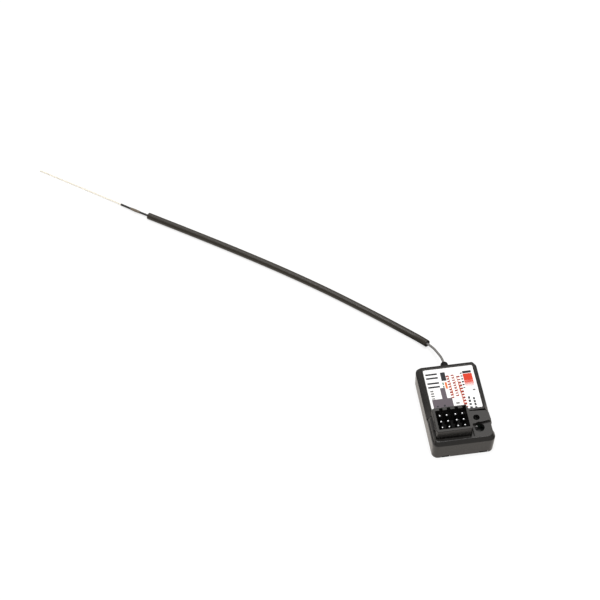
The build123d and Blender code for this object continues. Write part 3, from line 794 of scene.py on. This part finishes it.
dome_points, dome_faces = [], []
for skin in (dome_profile(0.0), dome_profile(dome_thickness)):
    for radius, level in skin:
        for side in range(dome_sides):
            turn = 2 * math.pi * side / dome_sides
            dome_points.append((dome_middle[0] + radius * math.cos(turn),
                                dome_middle[1] + radius * math.sin(turn), level))
    dome_points.append((dome_middle[0], dome_middle[1], skin[-1][1]))
skin_points = len(dome_points) // 2
crown_ring = dome_rings * dome_sides
for ring in range(dome_rings):
    for side in range(dome_sides):
        near, far = ring * dome_sides + side, ring * dome_sides + (side + 1) % dome_sides
        dome_faces.append((near, far, far + dome_sides, near + dome_sides))
        dome_faces.append((skin_points + far, skin_points + near,
                           skin_points + near + dome_sides, skin_points + far + dome_sides))
for side in range(dome_sides):
    near, far = side, (side + 1) % dome_sides
    dome_faces.append((crown_ring + near, crown_ring + far, skin_points - 1))
    dome_faces.append((skin_points + crown_ring + far, skin_points + crown_ring + near,
                       2 * skin_points - 1))
    dome_faces.append((far, near, skin_points + near, skin_points + far))
dome = add_mesh("dome", dome_points, dome_faces, dome_steel)
smooth(dome.data)
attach(dome, "receiver")
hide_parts("key_dome")
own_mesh(dome)


# The lamp
# A clear resin lens on a pale carrier, far down its opening. The lens is cast on the carrier, and
# that is soldered to the board.
led_resin = Finish("lamp resin", Roughness=0.15)
led_resin.set("Base Color", led_resin.mix(
    led_resin.noise(1500, 3), (0.85, 0.82, 0.8, 1), (0.95, 0.93, 0.92, 1)))
led_resin.bump(led_resin.noise(2500, 2), 0.00001, 0.3)
dress(led_resin, "led_lens")

led_carrier = Finish("lamp carrier", Roughness=0.4)
led_carrier.set("Base Color", led_carrier.mix(
    led_carrier.noise(1500, 3), grey(0.2), grey(0.28)))
led_carrier.bump(led_carrier.noise(3500, 2), 0.00001, 0.3)
dress(led_carrier, "led_base")


# The small parts on the board
# Black moulded chips, a bright crystal can, an ochre capacitor and rows of tiny chip parts. All
# of them stand soldered on the board.
rough_spread = 0.08


def board_finish(name, first, second, metallic, rough, *nodes):
    """A mottled finish for one kind of small part, given to its nodes."""
    finish = Finish(name, Metallic=metallic)
    finish.set("Base Color", finish.mix(finish.noise(1800, 3), first, second))
    finish.set("Roughness", (rough - rough_spread) + 2 * rough_spread * finish.noise(2600, 3))
    finish.bump(finish.noise(4200, 3), 0.00002, 0.4)
    dress(finish, *nodes)


board_finish("chip moulding", grey(0.009), grey(0.016), 0.0, 0.55,
             "microcontroller", "rf_chip", "voltage_regulator")
board_finish("crystal can", grey(0.55, 0.05), grey(0.7, 0.05), 1.0, 0.3, "crystal")
board_finish("capacitor case", (0.42, 0.22, 0.03, 1), (0.5, 0.27, 0.05, 1), 0.0, 0.45,
             "filter_capacitor")
board_finish("chip ceramic", (0.25, 0.16, 0.1, 1), (0.34, 0.23, 0.15, 1), 0.0, 0.5,
             "chip_capacitors")
board_finish("chip resistors", grey(0.01), grey(0.02), 0.0, 0.35, "chip_resistors")


# The table and the light
# A white table that keeps a faint soft shadow. A broad lamp hangs over it, and a large bright
# screen stands behind the case. Two dark cards at the case's sides and a dark runner behind it
# show only in its gloss.
table_half = 6.0
table_glow = 0.75
dark_cards = ((-0.03, 0.022), (0.025, 0.016))
card_inside = 0.01
card_outside = 0.018
runner_start = 0.019
runner_edge = 0.007
runner_middle = 0.005
runner_half = 0.018
bounce_colour = (1.0, 0.93, 0.86, 1.0)
far_start = 0.024
far_end = 0.034
far_share = 0.9
near_paint = grey(0.25)
mirrored_paint = grey(0.1)
screen_direction = (0.087, 0.607, 0.79)
screen_light = 1.4
screen_edge = (0.85, 0.96)
screen_foot = (0.45, 0.66)
air_light = 0.35
low_light = 0.12
air_rise = (0.1, 0.5)
lamp_size = 0.9
lamp_power = 17.0
lamp_place = Vector((-0.1, -0.15, 1.4))

table_paint = Finish("table paint", Roughness=0.9, Specular_IOR_Level=0.0,
                     Emission_Strength=table_glow)
rays = table_paint.node("ShaderNodeLightPath", "Is Camera Ray")
mirrored = Varying(table_paint, rays.socket.node.outputs["Is Glossy Ray"])
through = Varying(table_paint, rays.socket.node.outputs["Is Transmission Ray"])
bright = mirrored + through
for card in dark_cards:
    away = table_paint.node("ShaderNodeVectorMath", "Value", {"operation": "DISTANCE"}, {
        0: table_paint.place, 1: (*card, 0.0)})
    bright = bright * table_paint.fade(away, card_inside, card_outside, 0.0, 1.0)
across = table_paint.part("X") - runner_middle
behind = table_paint.fade(
    table_paint.part("Y"), runner_start, runner_start + runner_edge, 0.0, 1.0)
bright = bright * (1.0 - behind * table_paint.fade(
    across * across, runner_half ** 2, (runner_half + runner_edge) ** 2, 1.0, 0.0))
bounced = table_paint.mix(bright, grey(0.0), bounce_colour)
from_case = table_paint.node("ShaderNodeVectorMath", "Value", {"operation": "DISTANCE"}, {
    0: table_paint.place, 1: (0.0, 0.0, 0.0)})
far_paint = table_paint.fade(from_case, far_start, far_end, 0.0, far_share) * (1.0 - rays)
table_paint.set("Base Color", table_paint.mix(
    mirrored, table_paint.mix(far_paint, near_paint, grey(1.0)), mirrored_paint))
table_paint.set("Emission Color", table_paint.mix(rays, bounced, grey(1.0)))
table = add_mesh("table", [(-table_half, -table_half, 0), (table_half, -table_half, 0),
                           (table_half, table_half, 0), (-table_half, table_half, 0)],
                 [(0, 1, 2, 3)], table_paint)

world = bpy.data.worlds.new("surround")
scene.world = world
world.use_nodes = True


class Surround(Finish):
    """The air round the object, with the same way of adding nodes."""

    def __init__(self):
        self.tree = world.node_tree


air = Surround()
direction = air.node("ShaderNodeTexCoord", "Generated")
towards_screen = air.node("ShaderNodeVectorMath", "Value", {"operation": "DOT_PRODUCT"}, {
    0: direction, 1: screen_direction})
height = air.node("ShaderNodeSeparateXYZ", "Z", {}, {"Vector": direction})
screen = air.fade(towards_screen, *screen_edge, 0.0, screen_light) * air.fade(
    height, *screen_foot, 0.0, 1.0)
light_level = air.fade(height, *air_rise, low_light, air_light) + screen
shown_sky = air.tree.nodes["Background"]
shown_sky.inputs["Color"].default_value = grey(1.0)
shown_sky.inputs["Strength"].default_value = 1.0
lit_sky = air.tree.nodes.new("ShaderNodeBackground")
lit_sky.inputs["Color"].default_value = grey(1.0, 0.02)
air.tree.links.new(light_level.socket, lit_sky.inputs["Strength"])
sky = air.tree.nodes.new("ShaderNodeMixShader")
air.tree.links.new(air.node("ShaderNodeLightPath", "Is Camera Ray").socket, sky.inputs[0])
air.tree.links.new(lit_sky.outputs[0], sky.inputs[1])
air.tree.links.new(shown_sky.outputs[0], sky.inputs[2])
air.tree.links.new(sky.outputs[0], air.tree.nodes["World Output"].inputs["Surface"])

light = bpy.data.lights.new("lamp", "AREA")
light.shape = "DISK"
light.size = lamp_size
light.energy = lamp_power
lamp = bpy.data.objects.new("lamp", light)
scene.collection.objects.link(lamp)
lamp.matrix_world = Matrix.Translation(lamp_place) @ lamp_place.to_track_quat(
    "Z", "Y").to_matrix().to_4x4()

scene.view_settings.view_transform = "Standard"

bpy.context.view_layer.update()
